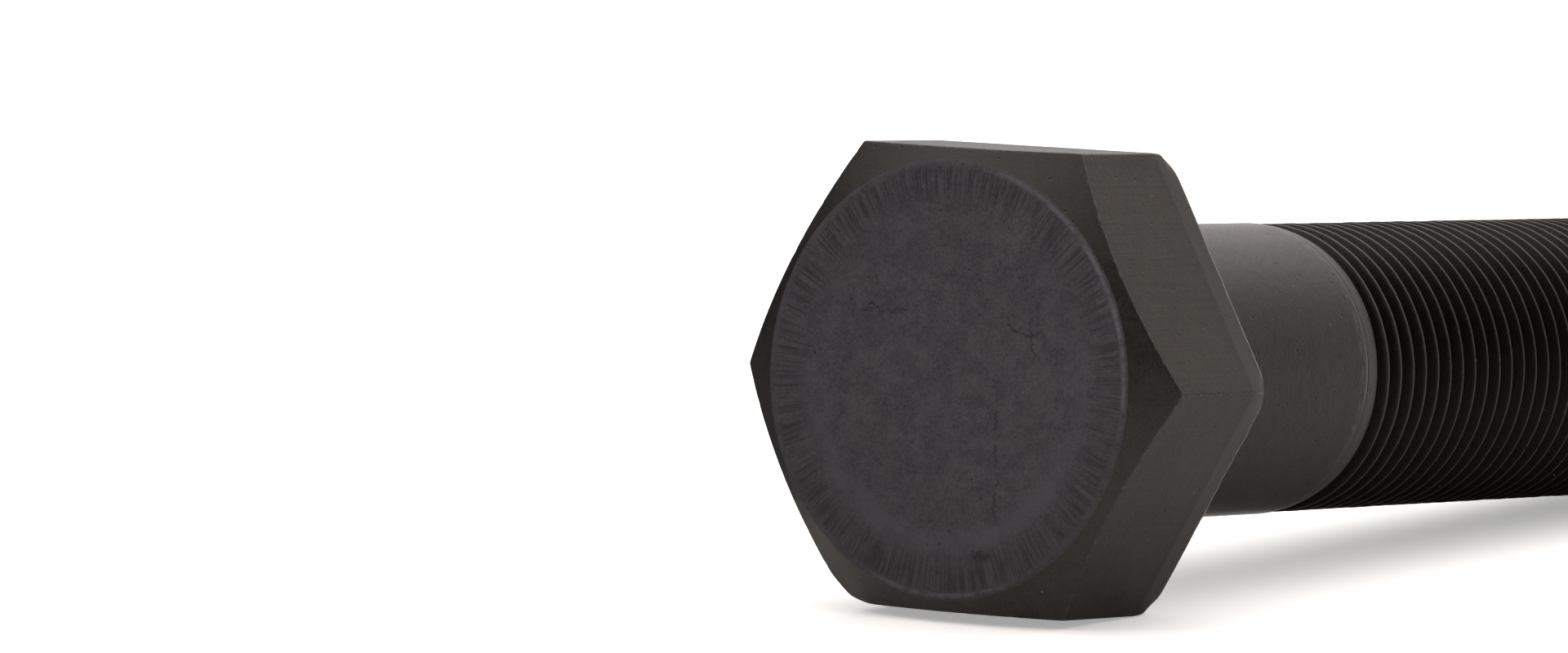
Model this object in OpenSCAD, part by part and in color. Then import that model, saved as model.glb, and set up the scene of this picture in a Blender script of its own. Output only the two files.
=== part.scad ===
// Part-threaded hexagon head bolt, fine-pitch metric, black-oxide steel.
//
// Frame: millimetres. The shank axis lies along +Y, the origin is at the centre of
// the bearing face under the head, the head occupies -Y and the thread ends at +Y.
// Two of the six wrench flats face +Z and -Z.
//
// Each module is one named region of the bolt. They meet on flat faces square to
// the axis or on shared cylinders, so together they make one continuous bolt.

/* [Size] */
// Nominal thread diameter
thread_d = 39; // [36:0.5:42]
// Length from the bearing face to the thread end
bolt_length = 150; // [120:1:220]
// Axial advance of the thread in one turn
pitch = 3; // [2:0.5:4]

/* [Head] */
// Width across the wrench flats
across_flats = 60; // [60:0.5:65]
// Head height, bearing face to top face
head_height = 25; // [20:0.5:30]
// Diameter of the flat circle on top of the head
top_face_d = 56; // [52:0.1:58]
// Slope of the corner chamfer, measured from the top face
chamfer_angle = 30; // [20:1:35]
// Height of the bevelled trim band next to the bearing face
trim_band_height = 4.3; // [3:0.1:8]
// How far the trim band leans in at the bearing face
trim_band_lean = 0.3; // [0.1:0.05:1.2]
// Radial cut on the six corners at the bearing face
corner_relief = 1.5; // [1.4:0.1:3]
// Axial length of that cut along the corners
corner_relief_height = 2.8; // [1:0.1:2.9]

/* [Bearing side] */
// Diameter of the raised washer face
washer_face_d = 57.2; // [54:0.1:57.4]
// Height of the raised washer face
washer_face_height = 0.9; // [0.2:0.1:1]
// Radius of the arc between the shank and the bearing face
fillet_radius = 5.7; // [5.1:0.1:7]
// Axial height of the fillet above the bearing face
fillet_height = 5; // [2:0.1:5]

/* [Shank] */
// Length from the bearing face to the end of the full plain shank
plain_length = 43.3; // [30:0.1:60]
// Axial length of the taper from the plain shank to the thread
shoulder_length = 3; // [1:0.1:5]
// Diameter lost over that taper
shoulder_drop = 1; // [0.2:0.1:2]

/* [Thread] */
// How much smaller than nominal the finished crests are
crest_allowance = 0.3; // [0.1:0.05:0.5]
// Axial length of the chamfered point
point_length = 3; // [1:0.1:5]
// Diameter lost from the crests to the flat end of the point
point_drop = 4.2; // [3:0.1:8]
// Angle at which the groove starts, turning about the bolt's own axis
start_angle = 120; // [0:5:360]

/* [Hidden] */
// Facets of the curved surfaces in a mesh preview
$fn = 96;
// Distance from the axis to a wrench flat
apothem = across_flats / 2;
// Distance from the axis to a sharp corner of the hexagon
corner_r = apothem / cos(30);
// Radius of the flat circle on top of the head
top_face_r = top_face_d / 2;
// Axial depth of the chamfer at the corners
chamfer_depth = (corner_r - top_face_r) * tan(chamfer_angle);
// Straight height of the corners kept between the chamfer and the hexagonal body
corner_land = 0.2;
// Axial height of the crown, from the top face to the hexagonal body
crown_height = chamfer_depth + corner_land;
// Height of the hexagonal body between crown and trim band
body_height = head_height - washer_face_height - trim_band_height - crown_height;
// Shank radius
shank_r = thread_d / 2;
// Radius at which the fillet arc reaches the bearing face
fillet_foot_r = shank_r + fillet_radius
    - sqrt(pow(fillet_radius, 2) - pow(fillet_height, 2));
// Axial position where the thread begins
thread_start = plain_length + shoulder_length;
// Axial position where the thread meets the chamfered point
thread_end = bolt_length - point_length;
// Threaded length between those two positions
thread_length = thread_end - thread_start;
// Radius at the thread crest
crest_r = (thread_d - crest_allowance) / 2;
// Depth of the groove of a metric thread, as a share of its pitch
depth_share = 0.6134;
// Depth of the thread groove below the crest
thread_depth = depth_share * pitch;
// Radius where the shoulder hands over to the thread
start_r = (thread_d - shoulder_drop) / 2;
// Radius where the thread hands over to the point
finish_r = crest_r - 0.8;
// Radius of the flat end of the point
point_end_r = crest_r - point_drop / 2;
// Thread profile over one pitch: [axial fraction, share of the groove depth].
PROFILE = [[0, 0], [0.125, 0], [0.47, 1], [0.655, 1]];
// Mesh columns around one turn of the thread
columns = 24;
// Number of turns that carry profile points
turns = floor(thread_length / pitch - 1 - PROFILE[3][0]);
// Turns over which the groove fades in at the shank and out at the point
run_out_turns = 0.4;
run_in_turns = 0.8;
// Gap kept between the end rings and the first and last profile point
end_gap = 0.05;
// Small overlap used only inside a single region's own booleans
eps = 0.01;
// Colour of the black-oxide finish
oxide = [0.13, 0.12, 0.12];
// Colour of the darker thread
oxide_dark = [0.08, 0.08, 0.08];

// Names of the regions, and the one to draw

// Lays a shape built along +Z down so that its axis points along +Y.
module along_y() {
    rotate([-90, 0, 0])
        children();
}

// Hexagonal prism on the local Z axis, corners on X, from z0 up by h.
module hex_prism(z0, h) {
    translate([0, 0, z0])
        cylinder(r = corner_r, h = h, $fn = 6);
}

// Chamfered top of the head, with the round top face.
module head_crown() {
    color(oxide)
        along_y()
            intersection() {
                hex_prism(-head_height, crown_height);
                rotate_extrude()
                    polygon([
                        [0, -head_height],
                        [top_face_r, -head_height],
                        [corner_r + eps, -head_height + chamfer_depth
                            + eps * tan(chamfer_angle)],
                        [corner_r + eps, 0],
                        [0, 0]
                    ]);
            }
}

// Straight hexagonal part that the wrench grips.
module hex_body() {
    color(oxide)
        along_y()
            hex_prism(-head_height + crown_height, body_height);
}

// Wedge that leans one flat of the trim band inwards.
module trim_wedge() {
    translate([corner_r, 0, 0])
        rotate([0, -90, 0])
            linear_extrude(height = 2 * corner_r)
                polygon([
                    [-trim_band_height, apothem],
                    [0, apothem - trim_band_lean],
                    [eps, apothem - trim_band_lean],
                    [eps, apothem + 1],
                    [-trim_band_height, apothem + 1]
                ]);
}

// Bevelled band left by trimming, with the six corners cut back by a cone.
module trim_band() {
    // Radius of the cone at the bearing side
    relief_r = corner_r - corner_relief;
    // Radius of the leaning corners where the cut begins
    relief_start_r = corner_r
        - trim_band_lean / cos(30) * (1 - corner_relief_height / trim_band_height);
    // Radius of the same cone at the hexagonal body, outside the corners
    cone_r = relief_r
        + (relief_start_r - relief_r) * trim_band_height / corner_relief_height;
    color(oxide)
        along_y()
            translate([0, 0, -washer_face_height])
                difference() {
                    intersection() {
                        hex_prism(-trim_band_height, trim_band_height);
                        rotate_extrude()
                            polygon([
                                [0, -trim_band_height],
                                [cone_r, -trim_band_height],
                                [relief_r, 0],
                                [0, 0]
                            ]);
                    }
                    for (side = [0 : 5])
                        rotate([0, 0, 60 * side])
                            trim_wedge();
                }
}

// Thin raised ring that bears on the clamped part, round the foot of the shank.
module washer_face() {
    color(oxide)
        along_y()
            rotate_extrude()
                translate([fillet_foot_r, -washer_face_height])
                    square([washer_face_d / 2 - fillet_foot_r, washer_face_height]);
}

// Flared root of the shank, with the plug that fills the ring of the washer face.
// Its concave side is an arc tangent to the shank.
module underhead_fillet() {
    color(oxide)
        along_y()
            rotate_extrude()
                difference() {
                    translate([0, -washer_face_height])
                        square([fillet_foot_r, washer_face_height + fillet_height]);
                    translate([shank_r + fillet_radius, fillet_height])
                        circle(r = fillet_radius);
                }
}

// Unthreaded part of the shank.
module plain_shank() {
    color(oxide)
        along_y()
            translate([0, 0, fillet_height])
                cylinder(r = shank_r, h = plain_length - fillet_height);
}

// Short taper between the plain shank and the thread.
module thread_shoulder() {
    color(oxide)
        along_y()
            translate([0, 0, plain_length])
                cylinder(r1 = shank_r, r2 = start_r, h = shoulder_length);
}

// Smooth step from 0 to 1.
function ease(t) = let (u = min(1, max(0, t))) u * u * (3 - 2 * u);

// Share of the full groove depth at an axial distance z from the thread start.
function fade(z) = ease(z / (run_out_turns * pitch))
    * ease((thread_length - z) / (run_in_turns * pitch));

// Crest radius at axial distance z: it grows from the shoulder and shrinks at the point.
function crest_at(z) = start_r + (crest_r - start_r) * ease(z / pitch)
    - (crest_r - finish_r) * ease((z - thread_length + pitch) / pitch);

// Radius of the surface at axial distance z where the groove share is g.
function radius_at(z, g) = crest_at(z) - thread_depth * g * fade(z);

// Axial distance of profile point p of turn t in column c.
function station(c, t, p) =
    pitch * (t + PROFILE[p][0] + c / columns) + end_gap;

// Point on the thread surface.
function thread_point(c, t, p) =
    let (z = station(c, t, p), r = radius_at(z, PROFILE[p][1]), a = 360 * c / columns)
    [r * cos(a), r * sin(a), z];

// Point on an end ring.
function ring_point(c, r, z) = let (a = 360 * c / columns) [r * cos(a), r * sin(a), z];

// Rows of points in one column, end rings included.
per_column = turns * len(PROFILE) + 2;

// Rolled right-hand thread with its run-out next to the shank.
module threaded_shank() {
    points = concat(
        [for (c = [0 : columns - 1]) each concat(
            [ring_point(c, start_r, 0)],
            [for (t = [0 : turns - 1]) for (p = [0 : len(PROFILE) - 1]) thread_point(c, t, p)],
            [ring_point(c, finish_r, thread_length)]
        )],
        [[0, 0, 0], [0, 0, thread_length]]
    );
    // Index of row k in column c
    function at(c, k) = c * per_column + k;
    bottom = columns * per_column;
    top = bottom + 1;
    last = columns - 1;
    crown = per_column - 1;
    climb = len(PROFILE);
    faces = concat(
        // End discs
        [for (c = [0 : last]) each [
            [bottom, at(c, 0), at((c + 1) % columns, 0)],
            [top, at((c + 1) % columns, crown), at(c, crown)]
        ]],
        // Thread surface between neighbouring columns
        [for (c = [0 : last - 1]) for (k = [0 : crown - 1]) each [
            [at(c, k), at(c, k + 1), at(c + 1, k + 1)],
            [at(c, k), at(c + 1, k + 1), at(c + 1, k)]
        ]],
        // Seam: the last column continues one turn higher in the first
        [for (k = [0 : crown - climb - 1]) each [
            [at(last, k), at(last, k + 1), at(0, k + 1 + climb)],
            [at(last, k), at(0, k + 1 + climb), at(0, k + climb)]
        ]],
        // Fans that close the seam at both end rings
        [for (j = [0 : climb - 1]) [at(last, 0), at(0, j + 1), at(0, j)]],
        [for (j = [crown - climb : crown - 1]) [at(last, j), at(last, j + 1), at(0, crown)]]
    );
    color(oxide_dark)
        along_y()
            translate([0, 0, thread_start])
                rotate([0, 0, start_angle])
                    polyhedron(points = points, faces = faces);
}

// Chamfered end of the thread.
module chamfered_point() {
    color(oxide)
        along_y()
            translate([0, 0, thread_end])
                cylinder(r1 = finish_r, r2 = point_end_r, h = point_length);
}

head_crown();
hex_body();
trim_band();
washer_face();
underhead_fillet();
plain_shank();
thread_shoulder();
threaded_shank();
chamfered_point();
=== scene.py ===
"""Looks for the hex bolt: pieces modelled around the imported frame, materials, light and camera.

Lengths in this script are millimetres until they reach a mesh, which is in metres.
The shank axis is +Y, the bearing face is at y = 0 and two wrench flats face +Z and -Z.
"""

import math

import bpy
import numpy as np
from mathutils import Matrix, Vector, noise


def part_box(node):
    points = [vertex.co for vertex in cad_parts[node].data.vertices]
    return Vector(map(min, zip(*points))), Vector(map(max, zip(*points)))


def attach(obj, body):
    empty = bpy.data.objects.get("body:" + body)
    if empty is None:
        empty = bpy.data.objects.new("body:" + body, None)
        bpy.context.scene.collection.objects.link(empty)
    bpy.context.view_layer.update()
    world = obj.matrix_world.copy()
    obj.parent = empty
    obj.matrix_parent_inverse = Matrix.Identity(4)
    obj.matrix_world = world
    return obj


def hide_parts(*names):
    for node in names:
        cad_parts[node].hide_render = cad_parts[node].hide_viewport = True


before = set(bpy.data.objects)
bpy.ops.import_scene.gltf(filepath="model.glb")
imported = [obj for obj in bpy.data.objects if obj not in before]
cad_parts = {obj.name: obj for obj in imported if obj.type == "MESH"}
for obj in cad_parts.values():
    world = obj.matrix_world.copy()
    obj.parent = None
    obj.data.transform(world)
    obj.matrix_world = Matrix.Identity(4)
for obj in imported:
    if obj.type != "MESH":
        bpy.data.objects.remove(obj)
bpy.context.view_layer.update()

MM = 0.001


def cad_span(node):
    """Lowest and highest y of a CAD node, and its largest radius, in millimetres."""
    lo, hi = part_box(node)
    return lo[1] / MM, hi[1] / MM, max(hi[0], hi[2]) / MM


# ---------------------------------------------------------------- dimensions
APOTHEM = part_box("hex_body")[1][2] / MM
CORNER_R = APOTHEM / math.cos(math.radians(30))
FACE_Y = cad_span("head_crown")[0]
TRIM_START, TRIM_END, _ = cad_span("trim_band")
_, _, WASHER_R = cad_span("washer_face")
_, FILLET_END, _ = cad_span("underhead_fillet")
_, SHANK_END, SHANK_R = cad_span("plain_shank")
_, THREAD_START, _ = cad_span("thread_shoulder")
_, THREAD_END, CREST_R = cad_span("threaded_shank")
_, BOLT_END, FINISH_R = cad_span("chamfered_point")
PITCH = 3.0
# rise of the head's chamfer for each millimetre of radius
CHAMFER = math.tan(math.radians(30))
# where the top face would meet the chamfer if the edge between them were sharp
FACE_R = 28.15
# where the shoulder ends and the thread begins
START_R = SHANK_R - 0.5
# depth of an external thread's groove
GROOVE = 0.6134 * PITCH
FILLET_R = 5.7
# how far the trimmed band leans in, and the cone that cuts its corners
TRIM_LEAN = 0.3
RELIEF_R = CORNER_R - 1.5
RELIEF_HEIGHT = 2.8
# flat end of the bolt
POINT_R = CREST_R - 2.1
# roundings: hexagon corners, rim of the top face, chamfer to flat, rear edge of the head
CORNER_ROUND = 0.55
FACE_ROUND = 1.4
CHAMFER_ROUND = 0.38
REAR_ROUND = 1.05
# columns of every turned piece, and the radius below which a point counts as on the axis
COLUMNS = 256
ON_AXIS = 1e-6


# ---------------------------------------------------------------- mesh helpers
def make_mesh(name, verts_mm, faces, material_ids=None, mats=(), wear_and_highlight=None):
    """A smooth-shaded mesh object from points in millimetres."""
    me = bpy.data.meshes.new(name)
    me.from_pydata([tuple(v) for v in np.asarray(verts_mm) * MM], [], faces)
    for m in mats:
        me.materials.append(m)
    if material_ids is not None:
        me.polygons.foreach_set("material_index", np.asarray(material_ids, dtype=np.int32))
    me.polygons.foreach_set("use_smooth", np.ones(len(me.polygons), dtype=bool))
    if wear_and_highlight is not None:
        a = me.attributes.new("wear_and_highlight", "FLOAT", "POINT")
        a.data.foreach_set("value", np.asarray(wear_and_highlight, dtype=np.float32))
    me.validate()
    me.update()
    ob = bpy.data.objects.new(name, me)
    bpy.context.scene.collection.objects.link(ob)
    return ob


def rounded(points, radii, steps):
    """A polyline with its inner corners rounded. Returns its points and, for each, its corner or -1."""
    out, tag = [np.array(points[0], float)], [-1]
    for i in range(1, len(points) - 1):
        a, b, c = (np.array(points[j], float) for j in (i - 1, i, i + 1))
        u, v = a - b, c - b
        lu, lv = np.linalg.norm(u), np.linalg.norm(v)
        u, v = u / max(lu, 1e-9), v / max(lv, 1e-9)
        angle = math.acos(float(np.clip(u @ v, -1, 1)))
        reach = min(radii[i] / max(math.tan(angle / 2), 1e-6), lu * 0.45, lv * 0.45)
        p, q = b + u * reach, b + v * reach
        for s in np.linspace(0, 1, steps[i]):
            # a parabola that touches both sides; at a right angle it passes 6% of the radius outside
            # the true arc
            out.append((1 - s) ** 2 * p + 2 * s * (1 - s) * b + s * s * q)
            tag.append(i)
    out.append(np.array(points[-1], float))
    tag.append(-1)
    return out, tag


def subdivide(points, tags, most):
    """Splits the straight stretches of a polyline so that none is longer than most."""
    out, tag = [points[0]], [tags[0]]
    for i in range(1, len(points)):
        gap = float(np.linalg.norm(points[i] - points[i - 1]))
        n = max(1, int(math.ceil(gap / most)))
        for k in range(1, n + 1):
            out.append(points[i - 1] + (points[i] - points[i - 1]) * k / n)
            tag.append(tags[i] if k == n else -1)
    return out, tag


def lathe(name, profile, mat, wear_and_highlight=None, roughen=0.0, grain=3.0):
    """A closed body of revolution about Y from (radius, y) points that start and end on the axis.

    wear has one value for each point off the axis. roughen is the depth of a slow random swell,
    and grain the size of its lumps."""
    rings = [p for p in profile if p[0] > ON_AXIS]
    n = len(rings)
    verts, w = [], []
    for c in range(COLUMNS):
        t = 2 * math.pi * c / COLUMNS
        ct, st = math.cos(t), math.sin(t)
        for k, (r, y) in enumerate(rings):
            d = 0.0
            if roughen:
                d = roughen * noise.noise(Vector((r * ct / grain, y / grain, r * st / grain)))
            verts.append(((r + d) * ct, y, (r + d) * st))
            w.append(wear_and_highlight[k] if wear_and_highlight is not None else 0.0)
    faces = []
    for c in range(COLUMNS):
        d = (c + 1) % COLUMNS
        for k in range(n - 1):
            faces.append((c * n + k, c * n + k + 1, d * n + k + 1, d * n + k))
    for end, k in ((profile[0], 0), (profile[-1], n - 1)):
        centre = len(verts)
        verts.append((0.0, end[1], 0.0))
        w.append(0.0)
        for c in range(COLUMNS):
            d = (c + 1) % COLUMNS
            tri = (centre, c * n + k, d * n + k) if k == 0 else (centre, d * n + k, c * n + k)
            faces.append(tri)
    return make_mesh(name, verts, faces, mats=(mat,), wear_and_highlight=w)


# ---------------------------------------------------------------- materials
class Nodes:
    """Short spelling for building a node tree."""

    def __init__(self, tree):
        self.tree = tree
        self.at = 0

    def new(self, kind, **props):
        n = self.tree.nodes.new(kind)
        n.location = (self.at % 12 * 180 - 1400, -(self.at // 12) * 220)
        self.at += 1
        inputs = props.pop("inputs", {})
        for k, v in props.items():
            setattr(n, k, v)
        for k, v in inputs.items():
            self.set(n, k, v)
        return n

    def set(self, n, key, value):
        if isinstance(value, bpy.types.NodeSocket):
            self.tree.links.new(value, n.inputs[key])
        else:
            n.inputs[key].default_value = value

    def math(self, op, a, b=0.0, c=0.0, clamp=False):
        n = self.new("ShaderNodeMath", operation=op, use_clamp=clamp)
        for i, v in enumerate((a, b, c)):
            self.set(n, i, v)
        return n.outputs[0]

    def vec(self, op, a, b=(0, 0, 0)):
        n = self.new("ShaderNodeVectorMath", operation=op)
        self.set(n, 0, a)
        self.set(n, 1, b)
        return n.outputs["Value"] if op in ("LENGTH", "DOT_PRODUCT", "DISTANCE") else n.outputs[0]

    def noise(self, vector, scale, detail=2.0, rough=0.5, distortion=0.0):
        n = self.new("ShaderNodeTexNoise", inputs={
            "Vector": vector, "Scale": scale, "Detail": detail, "Roughness": rough, "Distortion": distortion})
        return n.outputs["Fac"]

    def ramp(self, value, lo, hi, a=0.0, b=1.0):
        """Maps lo..hi to a..b, clamped, with a smooth step."""
        n = self.new("ShaderNodeMapRange", interpolation_type="SMOOTHSTEP", clamp=True, inputs={
            "Value": value, "From Min": lo, "From Max": hi, "To Min": a, "To Max": b})
        return n.outputs["Result"]

    def mix(self, fac, a, b):
        """Colour mix."""
        n = self.new("ShaderNodeMix", data_type="RGBA")
        self.set(n, "Factor", fac)
        for key, v in ((6, a), (7, b)):
            if isinstance(v, bpy.types.NodeSocket):
                self.tree.links.new(v, n.inputs[key])
            else:
                n.inputs[key].default_value = (*v, 1.0)
        return n.outputs[2]

    def join(self, x, y, z):
        n = self.new("ShaderNodeCombineXYZ", inputs={0: x, 1: y, 2: z})
        return n.outputs[0]

    def bump(self, height, strength, distance):
        n = self.new("ShaderNodeBump", inputs={"Height": height, "Strength": strength, "Distance": distance})
        return n.outputs[0]


def black_oxide(name, tone, warm, rough=0.42, grain=1.0, face_lines=False, machined=None,
                smears=0.0, worn=(0.115, 0.100, 0.086), wear_gain=1.0, specular=0.5, tint=(1, 1, 1),
                graze=None, relief=1.0, seam=None, shoulder=None, painted_top_sheen=None,
                wear_edge=(1.3, 0.62, 1.05)):
    """Satin black-oxide steel: mottled tone, fine grain, pits, specks, worn edges, and painted highlights,
    sheen and shade.

    tone is the cool base colour and warm the brown that shows through in patches.
    face_lines adds what only the top face has, machined the die's lines (their fineness), and
    smears the slanting scuffs of the shank (their strength).
    worn is the colour of bare edges and of the painted highlights that share their mask, wear_gain their
    strength and wear_edge how ragged they are, where they begin and where they are full.
    graze is the roughness seen along the surface. relief scales the bump.
    seam is the y where the trimmed band starts and shoulder the y where the shank tapers.
    The film argument paints a sheen on what faces up: where it begins and is full as z over radius,
    its strength and its colour."""
    mat = bpy.data.materials.new(name)
    mat.use_nodes = True
    t = mat.node_tree
    t.nodes.clear()
    n = Nodes(t)
    out = n.new("ShaderNodeOutputMaterial")
    bsdf = n.new("ShaderNodeBsdfPrincipled")
    t.links.new(bsdf.outputs[0], out.inputs[0])
    coord = n.new("ShaderNodeTexCoord").outputs["Object"]
    # object coordinates in millimetres
    p = n.new("ShaderNodeVectorMath", operation="SCALE", inputs={0: coord, "Scale": 1000.0}).outputs[0]
    sep = n.new("ShaderNodeSeparateXYZ", inputs={0: p})
    x, y, z = sep.outputs[0], sep.outputs[1], sep.outputs[2]
    radius = n.math("SQRT", n.math("ADD", n.math("MULTIPLY", x, x), n.math("MULTIPLY", z, z)))
    angle = n.math("ARCTAN2", z, x)

    # tone: broad patches, cloudy mottling and fine grain
    patches = n.noise(p, 0.085, 3.0, 0.55)
    mottle = n.noise(p, 0.5, 4.0, 0.6)
    fine = n.noise(p, 4.5 * grain, 3.0, 0.65)
    tiny = n.noise(p, 14.0 * grain, 2.0, 0.6)
    grit = n.noise(n.vec("ADD", p, (17.0, 3.0, 9.0)), 2.7 * grain, 2.0, 0.7)
    brown = n.math("ADD", n.math("MULTIPLY", patches, 0.6), n.math("MULTIPLY", mottle, 0.4))
    warmth = n.ramp(brown, 0.38, 0.64)
    colour = n.mix(warmth, tone, warm)
    # shares of mottling, grit, fine and tiny grain in the shade; the top face is the finest
    shares = (0.22, 0.22, 0.34, 0.22) if face_lines else (0.18, 0.42, 0.28, 0.12)
    shade = n.math("ADD", n.math("MULTIPLY", n.ramp(mottle, 0.30, 0.70), shares[0]),
                   n.math("MULTIPLY", n.ramp(grit, 0.30, 0.70), shares[1]))
    shade = n.math("ADD", shade, n.math("MULTIPLY", n.ramp(fine, 0.32, 0.68), shares[2]))
    shade = n.math("ADD", shade, n.math("MULTIPLY", n.ramp(tiny, 0.36, 0.64), shares[3]))
    dark = tuple(c * 0.55 for c in tone)
    light = tuple(c * 1.50 for c in warm)
    colour = n.mix(n.ramp(shade, 0.52, 0.16), colour, dark)
    colour = n.mix(n.ramp(shade, 0.50, 0.86, 0.0, 0.9), colour, light)
    roughness = n.math("ADD", rough - 0.09, n.math("MULTIPLY", fine, 0.12))
    roughness = n.math("ADD", roughness, n.math("MULTIPLY", mottle, 0.08))
    # the bump: how much each of the noises stands out
    height = n.math("ADD", n.math("MULTIPLY", fine, 0.6), n.math("MULTIPLY", tiny, 0.35))
    height = n.math("ADD", height, n.math("MULTIPLY", grit, 0.9))
    height = n.math("ADD", height, n.math("MULTIPLY", mottle, 1.4))

    if face_lines:
        # radial striations near the rim of the top face, from the outward flow of the forging
        direction = n.join(n.math("COSINE", angle), n.math("SINE", angle), 0.0)
        depth = n.join(0.0, 0.0, n.math("MULTIPLY", radius, 0.10))
        round_rim = n.vec("ADD", n.vec("MULTIPLY", direction, (76.0, 76.0, 0.0)), depth)
        streaks = n.noise(round_rim, 1.0, 2.5, 0.65, 0.25)
        reach = n.noise(n.vec("MULTIPLY", direction, (4.0, 4.0, 0.0)), 1.0, 4.0, 0.65)
        inner = n.math("ADD", FACE_R * 0.64, n.math("MULTIPLY", reach, FACE_R * 0.22))
        band = n.math("MULTIPLY", n.ramp(n.math("SUBTRACT", radius, inner), 0.0, 4.5),
                      n.ramp(radius, FACE_R * 0.985, FACE_R * 0.960))
        line = n.math("MULTIPLY", n.ramp(streaks, 0.53, 0.38), band)
        ridge = n.math("MULTIPLY", n.ramp(streaks, 0.50, 0.66), band)
        # the drawn band is a little browner and darker than the middle; painted shade makes it darker still
        # low on the face
        rim_tone_and_low_shade = n.math("MULTIPLY", n.ramp(radius, FACE_R * 0.72, FACE_R * 0.92),
                      n.ramp(z, 10.0, -24.0, 0.10, 0.34))
        colour = n.mix(rim_tone_and_low_shade, colour, (0.0200, 0.0170, 0.0170))
        # painted shade: the whole face darker towards the bottom
        colour = n.mix(n.ramp(z, 4.0, -27.0, 0.0, 0.24), colour, (0.0200, 0.0180, 0.0190))
        colour = n.mix(n.math("MULTIPLY", line, 0.55), colour, (0.0150, 0.0125, 0.0120))
        colour = n.mix(n.math("MULTIPLY", ridge, 0.22), colour, tuple(c * 1.7 for c in warm))
        height = n.math("SUBTRACT", height, n.math("MULTIPLY", line, 1.8))
        # painted highlight: a lighter ring between the flattened centre and the drawn rim, clearest in the
        # lower half
        painted_ring_highlight = n.math("MULTIPLY", n.ramp(radius, FACE_R * 0.66, FACE_R * 0.74),
                      n.ramp(radius, FACE_R * 0.84, FACE_R * 0.76))
        low = n.ramp(z, 6.0, -16.0, 0.12, 1.0)
        cloud = n.ramp(n.noise(p, 0.16, 3.0, 0.6), 0.35, 0.65, 0.35, 1.0)
        painted_ring_highlight = n.math("MULTIPLY", n.math("MULTIPLY", painted_ring_highlight, low), cloud)
        colour = n.mix(n.math("MULTIPLY", painted_ring_highlight, 0.50), colour, (0.074, 0.072, 0.086))
        # painted highlight on the outer edge of the face, strongest where the top of the head turns to the
        # right
        edge = n.math("MULTIPLY", n.ramp(radius, FACE_R * 0.972, FACE_R * 0.986),
                      n.ramp(radius, FACE_R * 1.006, FACE_R * 0.996))
        highlight_side = n.math("ADD", n.ramp(n.math("COSINE", n.math("SUBTRACT", angle, 0.62)), 0.55, 0.98, 0.10, 1.0),
                      n.ramp(n.math("COSINE", n.math("ADD", angle, 1.60)), 0.86, 0.98, 0.0, 0.45))
        patchy = n.ramp(n.noise(p, 0.55, 4.0, 0.7), 0.36, 0.60, 0.12, 1.0)
        edge = n.math("MULTIPLY", n.math("MULTIPLY", edge, highlight_side), patchy)
        colour = n.mix(n.math("MULTIPLY", edge, 0.72), colour, (0.128, 0.116, 0.136))
        # a brown scuff on the upper right of the face
        spot_off = n.vec("LENGTH", n.vec("ADD", p, (-10.8, 25.0, -19.3)))
        scuffed = n.math("MULTIPLY", n.ramp(spot_off, 4.2, 1.0), n.ramp(grit, 0.44, 0.66))
        colour = n.mix(n.math("MULTIPLY", scuffed, 0.5), colour, (0.112, 0.088, 0.072))
        # one shallow oval pit low on the face
        off = n.vec("MULTIPLY", n.vec("ADD", p, (-6.6, 25.0, 22.4)), (0.42, 0.0, 0.95))
        dent = n.ramp(n.math("ADD", n.vec("LENGTH", off), n.math("MULTIPLY", grit, 1.5)), 1.55, 1.05)
        colour = n.mix(n.math("MULTIPLY", dent, 0.75), colour, tuple(c * 0.25 for c in tone))
        height = n.math("SUBTRACT", height, n.math("MULTIPLY", dent, 4.0))
        # hairline folds: along which way and across it, middle and place, half length, and sway
        for along, across, start, place, half, sway in (
                (z, x, -9.5, 8.3, 9.5, 4.6), (x, z, 11.0, 7.0, 4.2, 5.4), (z, x, 6.0, 13.4, 3.2, 4.4),
                (x, z, -10.0, 8.6, 4.4, 4.6)):
            path = n.noise(n.join(along, place, start), 0.34, 4.0, 0.75)
            drift = n.math("ADD", place - sway / 2, n.math("MULTIPLY", path, sway))
            gap = n.math("ABSOLUTE", n.math("SUBTRACT", across, drift))
            here = n.ramp(n.math("ABSOLUTE", n.math("SUBTRACT", along, start)), half, half * 0.7)
            broken = n.ramp(n.noise(n.vec("ADD", p, (place, 0.0, start)), 0.55, 3.0, 0.6), 0.40, 0.52)
            hair = n.math("MULTIPLY", n.math("MULTIPLY", n.ramp(gap, 0.26, 0.07), here), broken)
            colour = n.mix(n.math("MULTIPLY", hair, 0.70), colour, tuple(c * 0.28 for c in tone))
            height = n.math("SUBTRACT", height, n.math("MULTIPLY", hair, 2.5))

    if machined is not None:
        # lines left by the trimming die, along the axis
        across = n.join(n.math("MULTIPLY", x, machined), n.math("MULTIPLY", y, 0.05),
                        n.math("MULTIPLY", z, machined))
        drag = n.noise(across, 1.0, 3.0, 0.6)
        height = n.math("ADD", height, n.math("MULTIPLY", drag, 1.1))
        scored = n.math("MULTIPLY", n.ramp(drag, 0.56, 0.70), 0.28)
        colour = n.mix(scored, colour, tuple(c * 1.7 for c in warm))

    if seam is not None:
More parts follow.
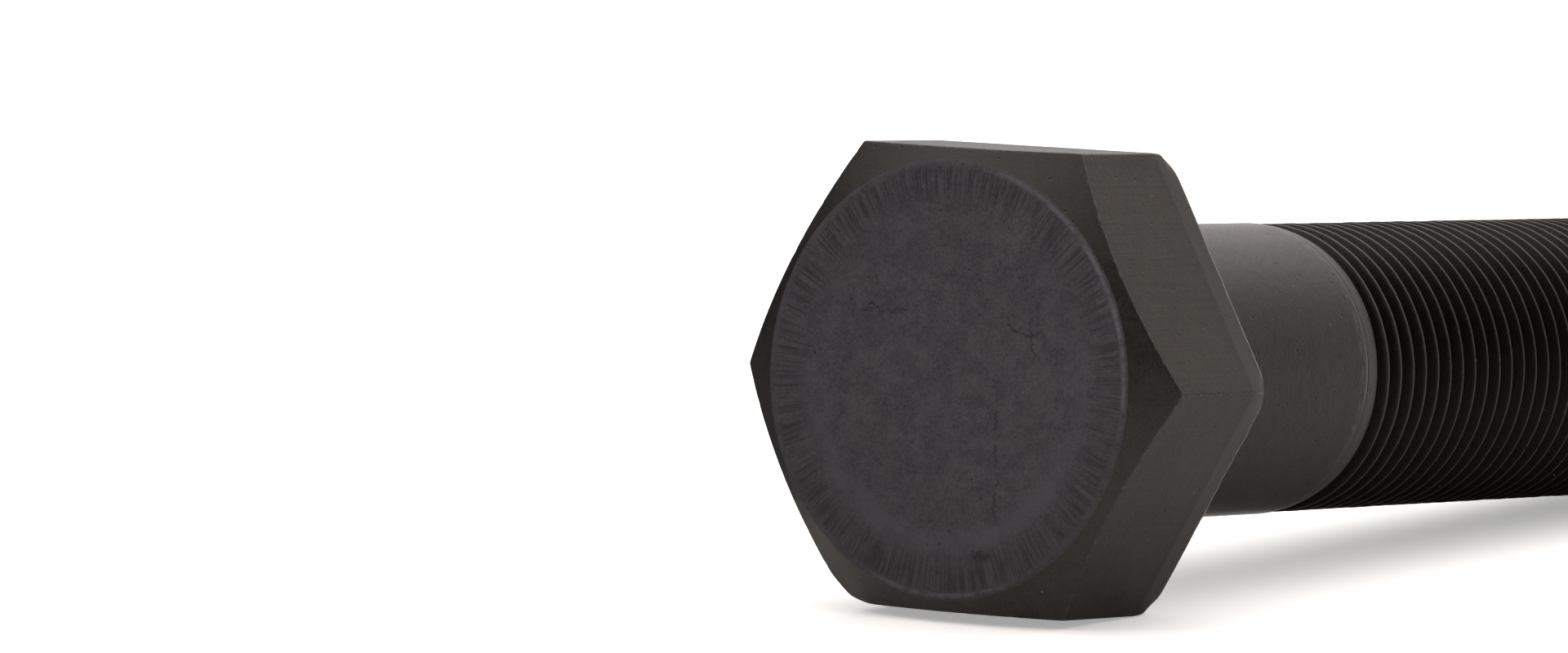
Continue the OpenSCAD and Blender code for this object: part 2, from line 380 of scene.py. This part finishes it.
        # soft dark fold where the trimmed band starts, then a strip that fades towards the bearing side
        waver = n.math("MULTIPLY", n.math("SUBTRACT", mottle, 0.5), 0.6)
        offset = n.math("ADD", n.math("SUBTRACT", y, seam), waver)
        fold = n.math("MULTIPLY", n.ramp(offset, -1.7, -0.6), n.ramp(offset, 0.15, -0.20))
        strip = n.math("MULTIPLY", n.ramp(offset, -0.10, 0.30), n.ramp(offset, 4.8, 0.4, 0.25, 1.0))
        colour = n.mix(n.math("MULTIPLY", fold, 0.34), colour, tuple(c * 0.30 for c in tone))
        colour = n.mix(n.math("MULTIPLY", strip, 0.26), colour, tuple(c * 1.9 for c in warm))

    if smears:
        # faint slanting scuffs round the shank
        round_ = n.math("MULTIPLY", angle, SHANK_R)
        along = n.math("ADD", n.math("MULTIPLY", round_, 0.55), n.math("MULTIPLY", y, 0.83))
        cross = n.math("SUBTRACT", n.math("MULTIPLY", round_, 0.83), n.math("MULTIPLY", y, 0.55))
        drawn = n.join(n.math("MULTIPLY", along, 0.16), n.math("MULTIPLY", cross, 2.4), 0.0)
        scuff = n.noise(drawn, 1.0, 3.0, 0.6)
        patch = n.ramp(n.noise(p, 0.13, 2.0), 0.48, 0.62)
        scuffs = n.math("MULTIPLY", n.math("MULTIPLY", n.ramp(scuff, 0.55, 0.72), patch), smears)
        colour = n.mix(scuffs, colour, tuple(c * 2.3 for c in warm))
        roughness = n.math("ADD", roughness, n.math("MULTIPLY", n.ramp(scuff, 0.5, 0.7), -0.05))

    if shoulder is not None:
        # painted sheen: a lighter crescent where the shank tapers to the thread
        sway = n.math("MULTIPLY", n.math("SUBTRACT", n.noise(p, 0.22, 3.0, 0.6), 0.5), 2.2)
        away = n.math("ADD", n.math("SUBTRACT", y, shoulder), sway)
        glow = n.ramp(away, -2.4, 0.4)
        colour = n.mix(n.math("MULTIPLY", glow, 0.32), colour, (0.046, 0.041, 0.038))
        # painted highlight: a broken light line along the start of the taper
        highlight_trace = n.ramp(n.math("ABSOLUTE", n.math("ADD", away, 1.1)), 0.42, 0.10)
        highlight_trace = n.math("MULTIPLY", highlight_trace, n.ramp(n.noise(p, 0.60, 4.0, 0.7), 0.44, 0.62))
        colour = n.mix(n.math("MULTIPLY", highlight_trace, 0.55), colour, (0.090, 0.080, 0.074))

    # pits: small dark dimples
    pit = n.new("ShaderNodeTexVoronoi", inputs={"Vector": p, "Scale": 0.62, "Randomness": 1.0})
    chance = n.new("ShaderNodeSeparateColor", inputs={0: pit.outputs["Color"]}).outputs[0]
    chosen = n.math("GREATER_THAN", chance, 0.72)
    hole = n.math("MULTIPLY", n.ramp(pit.outputs["Distance"], 0.17, 0.06), chosen)
    colour = n.mix(n.math("MULTIPLY", hole, 0.7), colour, tuple(c * 0.3 for c in tone))
    height = n.math("SUBTRACT", height, n.math("MULTIPLY", hole, 3.5))
    # specks: dust and bare points
    spot = n.new("ShaderNodeTexVoronoi", inputs={"Vector": n.vec("ADD", p, (5.3, 2.1, 8.7)), "Scale": 0.42,
                                                 "Randomness": 1.0})
    pick = n.new("ShaderNodeSeparateColor", inputs={0: spot.outputs["Color"]})
    size = n.math("MULTIPLY", pick.outputs[1], 0.075)
    speck = n.math("MULTIPLY", n.math("LESS_THAN", spot.outputs["Distance"], size),
                   n.math("GREATER_THAN", pick.outputs[0], 0.55))
    colour = n.mix(n.math("MULTIPLY", speck, 0.55), colour, (0.16, 0.14, 0.12))

    # 1 where a turned surface faces up as the bolt lies, -1 where it faces down
    climb = n.math("DIVIDE", z, radius)
    # painted sheen: lighter colour on what faces up as the bolt lies
    if painted_top_sheen is not None:
        lo, hi, amount, sheen_colour = painted_top_sheen
        painted_sheen_mask = n.math("MULTIPLY", n.ramp(climb, lo, hi, 0.0, amount), n.ramp(grit, 0.34, 0.66, 0.45, 1.0))
        # no painted sheen on the flat end of the thread
        painted_sheen_mask = n.math("MULTIPLY", painted_sheen_mask, n.ramp(radius, POINT_R - 0.6, POINT_R - 0.1))
        colour = n.mix(painted_sheen_mask, colour, sheen_colour)

    # worn edges and painted highlights, from the vertex attribute that the modelling code writes
    att = n.new("ShaderNodeAttribute", attribute_name="wear_and_highlight").outputs["Fac"]
    rub = n.noise(p, 1.3, 4.0, 0.7)
    ragged, sharp, full = wear_edge
    rub = n.math("MULTIPLY", n.math("SUBTRACT", rub, 0.5), ragged)
    worn_and_highlight_mask = n.ramp(n.math("ADD", att, rub), sharp, full)
    worn_and_highlight_mask = n.math("MULTIPLY", worn_and_highlight_mask, n.math("GREATER_THAN", att, 0.02))
    if painted_top_sheen is not None:
        # painted shade: worn edges and painted highlights dimmer on the under side
        worn_and_highlight_mask = n.math("MULTIPLY", worn_and_highlight_mask, n.ramp(climb, -0.95, 0.45, 0.42, 1.0))
    colour = n.mix(n.math("MULTIPLY", worn_and_highlight_mask, 0.62 * wear_gain, clamp=True), colour, worn)
    roughness = n.math("SUBTRACT", roughness, n.math("MULTIPLY", worn_and_highlight_mask, 0.05), clamp=True)

    if graze is not None:
        # the satin surface turns glossier where light skims it
        skim = n.new("ShaderNodeLayerWeight", inputs={"Blend": 0.5}).outputs["Facing"]
        roughness = n.math("SUBTRACT", roughness, n.ramp(skim, 0.80, 0.97, 0.0, rough - graze), clamp=True)

    n.set(bsdf, "Base Color", colour)
    n.set(bsdf, "Roughness", roughness)
    bsdf.inputs["Metallic"].default_value = 0.0
    bsdf.inputs["IOR"].default_value = 1.5
    bsdf.inputs["Specular IOR Level"].default_value = specular
    bsdf.inputs["Specular Tint"].default_value = (*tint, 1.0)
    n.set(bsdf, "Normal", n.bump(height, 0.55, 0.00004 * grain * relief))
    return mat


FACE_MAT = black_oxide("head_face_oxide", (0.0530, 0.0516, 0.0610), (0.0566, 0.0526, 0.0582), rough=0.50,
                       face_lines=True, specular=0.22, tint=(0.94, 0.95, 1.0))
CHAMFER_MAT = black_oxide("chamfer_oxide", (0.0058, 0.0056, 0.0062), (0.0120, 0.0100, 0.0086), rough=0.40,
                          specular=0.44, tint=(1.0, 0.92, 0.87))
FLAT_MAT = black_oxide("flat_oxide", (0.0138, 0.0115, 0.0096), (0.0174, 0.0141, 0.0117), rough=0.38,
                       machined=1.6, specular=0.20, tint=(1.0, 0.87, 0.78), graze=0.08, relief=1.3,
                       seam=TRIM_START)
# bright worn colour: the rear edge's wear carries a painted highlight
TRIM_MAT = black_oxide("trim_oxide", (0.0138, 0.0115, 0.0096), (0.0174, 0.0141, 0.0117), rough=0.40,
                       specular=0.20, tint=(1.0, 0.88, 0.80), graze=0.12, worn=(0.230, 0.205, 0.182),
                       seam=TRIM_START)
BEARING_MAT = black_oxide("bearing_oxide", (0.0160, 0.0146, 0.0136), (0.0210, 0.0184, 0.0162), rough=0.36,
                          specular=0.34, tint=(1.0, 0.93, 0.88), worn=(0.150, 0.135, 0.120))
# painted sheen on the top of the shank, and a painted highlight band at the shoulder
SHANK_MAT = black_oxide("shank_oxide", (0.0070, 0.0060, 0.0053), (0.0112, 0.0094, 0.0080), rough=0.36,
                        smears=0.65, specular=0.20, tint=(1.0, 0.86, 0.79), graze=0.13,
                        worn=(0.062, 0.054, 0.047), relief=2.8, shoulder=SHANK_END,
                        painted_top_sheen=(0.84, 0.985, 0.60, (0.095, 0.083, 0.077)))
# painted sheen on the top of the thread, and painted highlights on its crests
THREAD_MAT = black_oxide("thread_oxide", (0.0018, 0.0014, 0.0012), (0.0034, 0.0027, 0.0022), rough=0.42,
                         grain=1.3, specular=0.14, tint=(1.0, 0.90, 0.85), graze=0.16,
                         worn=(0.048, 0.041, 0.037), wear_gain=1.15, wear_edge=(0.7, 0.22, 1.20),
                         painted_top_sheen=(0.66, 0.96, 0.62, (0.046, 0.038, 0.034)))


# ---------------------------------------------------------------- head
def hex_section(flat_steps, arc_steps):
    """Points round the hexagon as (angle, radius, and how near the middle of a corner, 0 to 1)."""
    centre_r = (APOTHEM - CORNER_ROUND) / math.cos(math.radians(30))
    pts = []
    for i in range(6):
        a = math.radians(60 * i)
        c = np.array([math.cos(a), math.sin(a)]) * centre_r
        for k in range(arc_steps + 1):
            f = a + math.radians(-30 + 60 * k / arc_steps)
            on_arc = c + CORNER_ROUND * np.array([math.cos(f), math.sin(f)])
            pts.append((on_arc, 1.0 - abs(2 * k / arc_steps - 1) ** 2))
        f = a + math.radians(30)
        p = c + CORNER_ROUND * np.array([math.cos(f), math.sin(f)])
        b = math.radians(60 * (i + 1))
        c2 = np.array([math.cos(b), math.sin(b)]) * centre_r
        q = c2 + CORNER_ROUND * np.array([math.cos(f), math.sin(f)])
        for k in range(1, flat_steps):
            pts.append((p + (q - p) * k / flat_steps, 0.0))
    return [(math.atan2(v[1], v[0]), float(np.hypot(*v)), s) for v, s in pts]


def build_head():
    """Chamfered hexagon head with rounded, slightly worn edges and a painted highlight on the rear edge."""
    section = hex_section(72, 6)
    band = TRIM_END - TRIM_START
    # rows across the trim band, up to where the rear edge starts to turn
    inner = 9
    rows = [TRIM_START + (band - 2.4) * k / inner for k in range(1, inner + 1)]
    # corners of the profile: axis, rim of the face, chamfer's end, fold of the band, rows, rear edge
    last = 4 + inner
    radii = [0, FACE_ROUND, CHAMFER_ROUND, 0] + [0] * inner + [REAR_ROUND, 0]
    steps = [0, 9, 6, 1] + [1] * inner + [13, 0]
    # how finely each straight stretch is cut: face, chamfer, flat, rows of the band, bearing side
    splits = [18, 9, 36] + [1] * inner + [5, 5]
    slot_of = [0, 1, 2] + [3] * (inner + 1) + [4]
    start_r = CORNER_R - TRIM_LEAN / math.cos(math.radians(30)) * (1 - RELIEF_HEIGHT / band)
    slope = (start_r - RELIEF_R) / RELIEF_HEIGHT

    def band_r(big_r, y):
        """Leaning flat, cut by the relief cone at the corners, with a soft crease between them."""
        s = (y - TRIM_START) / band
        lean = big_r * (1 - TRIM_LEAN * s / APOTHEM)
        gap = RELIEF_R + slope * (TRIM_END - y) - lean
        return lean + 0.5 * (gap - math.sqrt(gap * gap + 0.004 + 0.12 * s * s))

    cols, wear_and_highlight, tags = [], [], None
    for theta, big_r, corner in section:
        pts = [(0.0, FACE_Y), (FACE_R, FACE_Y), (big_r, FACE_Y + (big_r - FACE_R) * CHAMFER),
               (big_r, TRIM_START)]
        pts += [(band_r(big_r, y), y) for y in rows]
        pts += [(band_r(big_r, TRIM_END), TRIM_END), (WASHER_R - 4.0, TRIM_END)]
        line, tag = rounded(pts, radii, steps)
        full, ids, w = [], [], []
        stretch = -1
        for i in range(1, len(line)):
            if tag[i - 1] != tag[i] or tag[i] == -1:
                stretch += 1
                m = splits[stretch]
                for k in range(1, m):
                    full.append(line[i - 1] + (line[i] - line[i - 1]) * k / m)
                    ids.append(stretch)
                    w.append(corner * 0.8 if 2 <= stretch < last else 0.0)
            full.append(line[i])
            ids.append(stretch)
            # the rear edge is worn and carries a painted highlight on the part of its arc that faces out, not
            # towards the shank
            outward = math.exp(-((i - tag.index(last) - 2.5) / 2.6) ** 2)
            edge = {2: 0.66, last: 1.15 * outward}.get(tag[i], 0.0)
            w.append(max(edge, corner * 0.8 if 2 <= stretch < last else 0.0))
        cols.append([(v[0] * math.cos(theta), v[1], v[0] * math.sin(theta)) for v in full])
        wear_and_highlight.append(w)
        tags = ids
    n, c = len(tags), len(cols)
    v = np.array(cols)
    w = np.array(wear_and_highlight)
    # how far the knock on the lower left corner reaches
    knock = 5.0
    # outward direction of each point, to push nicks and burrs along
    along = np.roll(v, -1, 0) - np.roll(v, 1, 0)
    down = np.empty_like(v)
    down[:, 1:-1] = v[:, 2:] - v[:, :-2]
    down[:, 0] = v[:, 1] - v[:, 0]
    down[:, -1] = v[:, -1] - v[:, -2]
    normal = np.cross(down, along)
    normal /= np.maximum(np.linalg.norm(normal, axis=2, keepdims=True), 1e-9)
    for i in range(c):
        for k in range(n - 3):
            p = v[i, k]
            # slow swell of the forging, then chips and burrs where an edge is worn
            d = 0.045 * noise.noise(Vector(p) / 9.0)
            e = w[i, k]
            if e > 0.3:
                chip = noise.noise(Vector(p) / 1.1 + Vector((3, 5, 1)))
                d -= 0.16 * max(0.0, chip - 0.28) * e
                if p[1] > TRIM_END - 1.2:
                    burr = noise.noise(Vector(p) / 2.3 + Vector((9, 1, 4)))
                    d += 0.20 * max(0.0, burr - 0.25) - 0.10 * max(0.0, -burr - 0.2)
            v[i, k] = p + normal[i, k] * d
            reach = math.hypot(p[0] + CORNER_R / 2, p[2] + APOTHEM)
            if reach < knock:
                push = 0.08 * (knock - reach) ** 1.5
                v[i, k, 0] += push * 0.5
                v[i, k, 2] += push * 0.87
    verts = v.reshape(-1, 3).tolist()
    faces, ids = [], []
    for i in range(c):
        j = (i + 1) % c
        for k in range(n - 1):
            faces.append((i * n + k, j * n + k, j * n + k + 1, i * n + k + 1))
            ids.append(slot_of[tags[k + 1]])
    top = len(verts)
    verts.append((0.0, FACE_Y, 0.0))
    end = len(verts)
    verts.append((0.0, TRIM_END, 0.0))
    for i in range(c):
        j = (i + 1) % c
        faces.append((top, j * n, i * n))
        ids.append(0)
        faces.append((end, i * n + n - 1, j * n + n - 1))
        ids.append(4)
    ob = make_mesh("hexagon_head", verts, faces, ids,
                   (FACE_MAT, CHAMFER_MAT, FLAT_MAT, TRIM_MAT, BEARING_MAT), list(w.reshape(-1)) + [0.0, 0.0])
    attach(ob, "root")
    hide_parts("head_crown", "hex_body", "trim_band")
    return ob


def build_washer_face():
    """Raised bearing disc, with a worn outer edge."""
    pts = [(0.0, TRIM_END - 0.3), (WASHER_R + 0.25, TRIM_END - 0.3), (WASHER_R, TRIM_END + 0.1),
           (WASHER_R, 0.0), (0.0, 0.0)]
    line, tag = rounded(pts, [0, 0.05, 0.2, 0.18, 0], [0, 2, 5, 5, 0])
    wear_and_highlight = [0.9 if t == 3 else 0.0 for p, t in zip(line, tag) if p[0] > ON_AXIS]
    ob = lathe("washer_face_disc", line, BEARING_MAT, wear_and_highlight=wear_and_highlight)
    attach(ob, "root")
    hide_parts("washer_face")


def build_fillet():
    """Flared root of the shank, an arc from the bearing face to where it touches the shank."""
    arc = []
    steps = 24
    for k in range(steps + 1):
        b = math.asin(FILLET_END / FILLET_R) * (1 - k / steps)
        arc.append((SHANK_R + FILLET_R - FILLET_R * math.cos(b), FILLET_END - FILLET_R * math.sin(b)))
    ob = lathe("shank_root_fillet", [(0.0, 0.0)] + arc + [(0.0, FILLET_END)], SHANK_MAT)
    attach(ob, "root")
    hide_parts("underhead_fillet")


def build_shank():
    """Plain part of the shank."""
    rows = 60
    pts = [(0.0, FILLET_END)]
    pts += [(SHANK_R, FILLET_END + (SHANK_END - FILLET_END) * k / rows) for k in range(rows + 1)]
    pts += [(0.0, SHANK_END)]
    ob = lathe("plain_shank_body", pts, SHANK_MAT)
    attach(ob, "root")
    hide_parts("plain_shank")


def build_shoulder():
    """Soft taper from the shank to the thread, with a painted highlight band where it begins."""
    pts = [(0.0, SHANK_END)]
    rows = 16
    for k in range(rows + 1):
        s = k / rows
        drop = s * s / (0.55 + 0.45 * s)
        pts.append((SHANK_R - (SHANK_R - START_R) * drop, SHANK_END + (THREAD_START - SHANK_END) * s))
    pts.append((0.0, THREAD_START))
    # painted highlight: the wear attribute lightens a band where the taper begins
    wear_and_highlight = [0.66 * math.exp(-((p[1] - SHANK_END - 0.9) / 0.9) ** 2) for p in pts if p[0] > ON_AXIS]
    ob = lathe("shank_shoulder", pts, SHANK_MAT, wear_and_highlight=wear_and_highlight)
    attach(ob, "root")
    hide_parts("thread_shoulder")


# ---------------------------------------------------------------- thread
def ease(t):
    """A smooth step from 0 to 1."""
    u = np.clip(t, 0, 1)
    return u * u * (3 - 2 * u)


def build_thread():
    """Right-hand rolled thread: a closed mesh whose last column joins the first one turn higher."""
    columns = 168
    # where round the shank the first groove starts
    phase = math.radians(240)
    # one pitch: crest, flank, rounded root and flank, as shares of the pitch
    u = np.array([0.0, 0.03, 0.0625, 0.095, 0.125, 0.15, 0.23, 0.32, 0.40, 0.45, 0.50, 0.5625, 0.625, 0.675,
                  0.725, 0.805, 0.895, 0.975])
    # distance from the middle of the crest, then depth of the groove from 0 to 1
    w = np.abs(((u - 0.0625 + 0.5) % 1.0) - 0.5)
    g = np.clip((w - 0.06) / 0.36, 0, 1)
    g = np.where(g > 0.82, 0.82 + 0.18 * np.sin(np.clip((g - 0.82) / 0.18, 0, 1) * math.pi / 2), g)
    g = np.where(g < 0.06, g * g / 0.06, g)
    length = THREAD_END - THREAD_START
    turns = int(length / PITCH - u[-1])
    per = turns * len(u) + 2
    # distance from the thread's start to the first point of the profile, as in the CAD
    end_gap = 0.05
    # a point that would fall before the start is kept this far from the one before it
    least = 0.002
    verts = np.zeros((columns, per, 3))
    wear_and_highlight = np.zeros((columns, per))
    for c in range(columns):
        a = 2 * math.pi * c / columns
        for t in range(turns):
            z = PITCH * (t - 1 + u + c / columns) + end_gap
            z = np.maximum(z, least * (1 + t * len(u) + np.arange(len(u))))
            crest = START_R + (CREST_R - START_R) * ease(z / (0.4 * PITCH))
            crest = crest - (CREST_R - FINISH_R) * ease((z - length + PITCH) / PITCH)
            # the groove runs out at both ends
            fade = ease(z / (0.35 * PITCH)) * ease((length - z) / (0.8 * PITCH))
            wobble = np.array([noise.noise(Vector((math.cos(a) * 6, s / 1.7, math.sin(a) * 6))) for s in z])
            r = crest - GROOVE * g * fade + 0.05 * wobble * (1 - g)
            sl = slice(1 + t * len(u), 1 + (t + 1) * len(u))
            verts[c, sl, 0] = r * math.cos(a)
            verts[c, sl, 2] = r * math.sin(a)
            verts[c, sl, 1] = THREAD_START + z
            # crests worn bare and carrying a painted highlight, both fading further along the bolt
            crest_wear_and_highlight = np.interp(w, (0.0, 0.065, 0.09, 0.17, 0.24), (1, 1, 0.72, 0.26, 0))
            wear_and_highlight[c, sl] = crest_wear_and_highlight * (0.36 + 0.74 * np.exp(-z / 14)) * fade
        verts[c, 0] = (START_R * math.cos(a), THREAD_START, START_R * math.sin(a))
        verts[c, -1] = (FINISH_R * math.cos(a), THREAD_END, FINISH_R * math.sin(a))
    # angles run the other way round Y for a right-hand thread, from the place where the groove starts
    swing = math.cos(phase), math.sin(phase)
    vx, vz = verts[:, :, 0].copy(), -verts[:, :, 2]
    verts[:, :, 0] = vx * swing[0] - vz * swing[1]
    verts[:, :, 2] = vx * swing[1] + vz * swing[0]

    def at(c, k):
        return c * per + k

    faces = []
    for c in range(columns - 1):
        for k in range(per - 1):
            faces.append((at(c, k), at(c + 1, k), at(c + 1, k + 1), at(c, k + 1)))
    last, crown, climb = columns - 1, per - 1, len(u)
    for k in range(crown - climb):
        faces.append((at(last, k), at(0, k + climb), at(0, k + 1 + climb), at(last, k + 1)))
    for j in range(climb):
        faces.append((at(last, 0), at(0, j), at(0, j + 1)))
    for j in range(crown - climb, crown):
        faces.append((at(last, j), at(0, crown), at(last, j + 1)))
    pts = verts.reshape(-1, 3).tolist()
    low, high = len(pts), len(pts) + 1
    pts += [(0.0, THREAD_START, 0.0), (0.0, THREAD_END, 0.0)]
    for c in range(columns):
        d = (c + 1) % columns
        faces.append((low, at(d, 0), at(c, 0)))
        faces.append((high, at(c, crown), at(d, crown)))
    ob = make_mesh("rolled_thread", pts, faces, mats=(THREAD_MAT,), wear_and_highlight=list(wear_and_highlight.reshape(-1)) + [0.0, 0.0])
    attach(ob, "root")
    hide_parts("threaded_shank")
    return ob


def build_point():
    """Chamfered end of the thread, with a worn edge round its flat."""
    pts = [(0.0, THREAD_END), (FINISH_R, THREAD_END), (POINT_R, BOLT_END), (0.0, BOLT_END)]
    line, tag = rounded(pts, [0, 0.3, 0.5, 0], [0, 4, 6, 0])
    line, tag = subdivide(line, tag, 1.5)
    wear_and_highlight = [0.8 if t == 2 else 0.0 for p, t in zip(line, tag) if p[0] > ON_AXIS]
    ob = lathe("thread_point", line, THREAD_MAT, wear_and_highlight=wear_and_highlight, roughen=0.04)
    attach(ob, "root")
    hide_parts("chamfered_point")


build_head()
build_washer_face()
build_fillet()
build_shank()
build_shoulder()
build_thread()
build_point()

# ---------------------------------------------------------------- stage
# The bolt lies on a wrench flat's rear edge and on its thread end, so the floor is tilted to the axis.
CLEARANCE = 0.1
TILT = math.atan2(APOTHEM - CREST_R + CLEARANCE, THREAD_END - TRIM_START)
UP = Vector((0, -math.sin(TILT), math.cos(TILT)))
contact = Vector((0, TRIM_START, -APOTHEM)) * MM
level = Matrix.Rotation(TILT, 4, "X")


def on_floor(x, y, z):
    """A place given as metres right, metres along the bolt and metres above the floor."""
    return contact + level @ Vector((x, y, z))


FLOOR_HALF = 12.0
# grey of the floor: painted dark left of the head for bounced and reflected light, pale elsewhere, and as it
# is seen
FLOOR_DARK, FLOOR_PALE, FLOOR_SEEN = ((g, g, g) for g in (0.10, 0.80, 0.94))
FLOOR_GLOW = 0.36
floor_mesh = bpy.data.meshes.new("floor")
floor_corners = [(i * FLOOR_HALF, j * FLOOR_HALF, 0) for i, j in ((-1, -1), (1, -1), (1, 1), (-1, 1))]
floor_mesh.from_pydata(floor_corners, [], [(0, 1, 2, 3)])
floor = bpy.data.objects.new("floor", floor_mesh)
bpy.context.scene.collection.objects.link(floor)
floor.matrix_world = Matrix.Translation(contact - UP * CLEARANCE * MM) @ level
pale = bpy.data.materials.new("pale_floor")
pale.use_nodes = True
pb = pale.node_tree.nodes["Principled BSDF"]
pn = Nodes(pale.node_tree)
direct = pn.new("ShaderNodeLightPath").outputs["Is Camera Ray"]
# painted dark reflection: left of the head the floor is dark for reflected and bounced light only, not to the
# eye
floor_place = pn.new("ShaderNodeTexCoord").outputs["Object"]
across = pn.new("ShaderNodeSeparateXYZ", inputs={0: floor_place}).outputs[0]
bounce_with_painted_dark = pn.mix(pn.ramp(across, -0.09, -0.03), FLOOR_DARK, FLOOR_PALE)
pn.set(pb, "Base Color", pn.mix(direct, bounce_with_painted_dark, FLOOR_SEEN))
pn.set(pb, "Emission Strength", pn.math("MULTIPLY", direct, FLOOR_GLOW))
pb.inputs["Roughness"].default_value = 0.7
pb.inputs["Specular IOR Level"].default_value = 0.2
pb.inputs["Emission Color"].default_value = (1, 1, 1, 1)
floor_mesh.materials.append(pale)

# ---------------------------------------------------------------- camera
# where it stands in metres, which way its back and its right side point, and its lens
CAMERA_PLACE = Vector((0.808955, -1.140348, 0.075380))
CAMERA_LENS = 246.2
BACK = Vector((0.598888, -0.799497, 0.050178)).normalized()
RIGHT = Vector((0.798790, 0.600485, 0.036783)).normalized()
cam_up = BACK.cross(RIGHT).normalized()
cam = bpy.data.cameras.new("camera")
cam.sensor_width = 36.0
cam.lens = CAMERA_LENS
cam.clip_end = 60
camera = bpy.data.objects.new("camera", cam)
bpy.context.scene.collection.objects.link(camera)
turn = Matrix((RIGHT, cam_up, BACK)).transposed().to_4x4()
camera.matrix_world = Matrix.Translation(CAMERA_PLACE) @ turn
bpy.context.scene.camera = camera


# ---------------------------------------------------------------- light
# One soft square lamp above and behind the bolt, aimed at its middle.
LAMP_SIZE = 1.6
LAMP_WATTS = 8
LAMP_PLACE = on_floor(-0.35, 0.8, 1.3)
LAMP_AIM = on_floor(0, 0.05, 0.03)
lamp = bpy.data.lights.new("top_softbox", "AREA")
lamp.shape = "SQUARE"
lamp.size = LAMP_SIZE
lamp.energy = LAMP_WATTS
softbox = bpy.data.objects.new("top_softbox", lamp)
bpy.context.scene.collection.objects.link(softbox)
softbox.location = LAMP_PLACE
softbox.rotation_euler = (LAMP_PLACE - LAMP_AIM).to_track_quat("Z", "Y").to_euler()

# A light tent: white behind and above, dark towards the camera's side and dim to the left.
TENT_WARM = (1.0, 0.955, 0.915)
TENT_LEFT = (-0.985, 0.10, -0.14)
# brightness of the white paper behind the bolt as it is seen directly
PAPER = 1.05
world = bpy.data.worlds.new("tent")
bpy.context.scene.world = world
world.use_nodes = True
wt = world.node_tree
wt.nodes.clear()
wn = Nodes(wt)
direction = wn.new("ShaderNodeTexCoord").outputs["Generated"]
facing = wn.vec("DOT_PRODUCT", direction, tuple(BACK))
leftward = wn.vec("DOT_PRODUCT", direction, TENT_LEFT)
height = wn.vec("DOT_PRODUCT", direction, tuple(UP))
# each ramp runs between two cosines: dark behind the camera, dim at left, brighter overhead
glow = wn.math("MULTIPLY", wn.ramp(facing, 0.42, 0.90, 1.0, 0.02), wn.ramp(leftward, 0.52, 0.92, 1.0, 0.04))
glow = wn.math("MULTIPLY", glow, wn.ramp(height, 0.15, 0.75, 0.90, 1.55))
seen = wn.new("ShaderNodeLightPath").outputs["Is Camera Ray"]
unseen_glow = wn.math("MULTIPLY", glow, wn.math("SUBTRACT", 1.0, seen))
strength = wn.math("ADD", unseen_glow, wn.math("MULTIPLY", seen, PAPER))
warm_white = wn.mix(seen, TENT_WARM, (1.0, 1.0, 1.0))
bg = wn.new("ShaderNodeBackground", inputs={"Color": warm_white, "Strength": strength})
wo = wn.new("ShaderNodeOutputWorld")
wt.links.new(bg.outputs[0], wo.inputs[0])

bpy.context.scene.view_settings.view_transform = "Standard"
bpy.context.scene.view_settings.look = "None"
